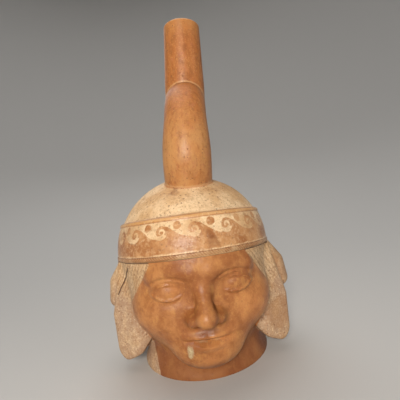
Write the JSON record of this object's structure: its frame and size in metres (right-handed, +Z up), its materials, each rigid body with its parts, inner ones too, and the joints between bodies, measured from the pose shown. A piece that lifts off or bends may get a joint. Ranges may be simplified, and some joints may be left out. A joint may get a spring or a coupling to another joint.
{
  "type": "stirrup spout vessel",
  "caption": "Hollow fired-clay bottle in the form of a capped head, with a painted headband, side locks, a stirrup-shaped handle and one spout",
  "frame": {"origin": "centre of the flat round underside, on the surface it stands on", "axes": "+Z up the vessel, -Y the way the face looks (its nose turns 4 degrees towards +X), +X towards the side the stirrup leans to"},
  "size_m": [0.1645, 0.1704, 0.2934],
  "materials": {
    "slip_painted_earthenware": "burnished red-brown and cream slip over fired clay, worn, with small dark specks"
  },
  "bodies": {
    "root": {"stirrup_spout_vessel": "slip_painted_earthenware"}
  },
  "joints": []
}
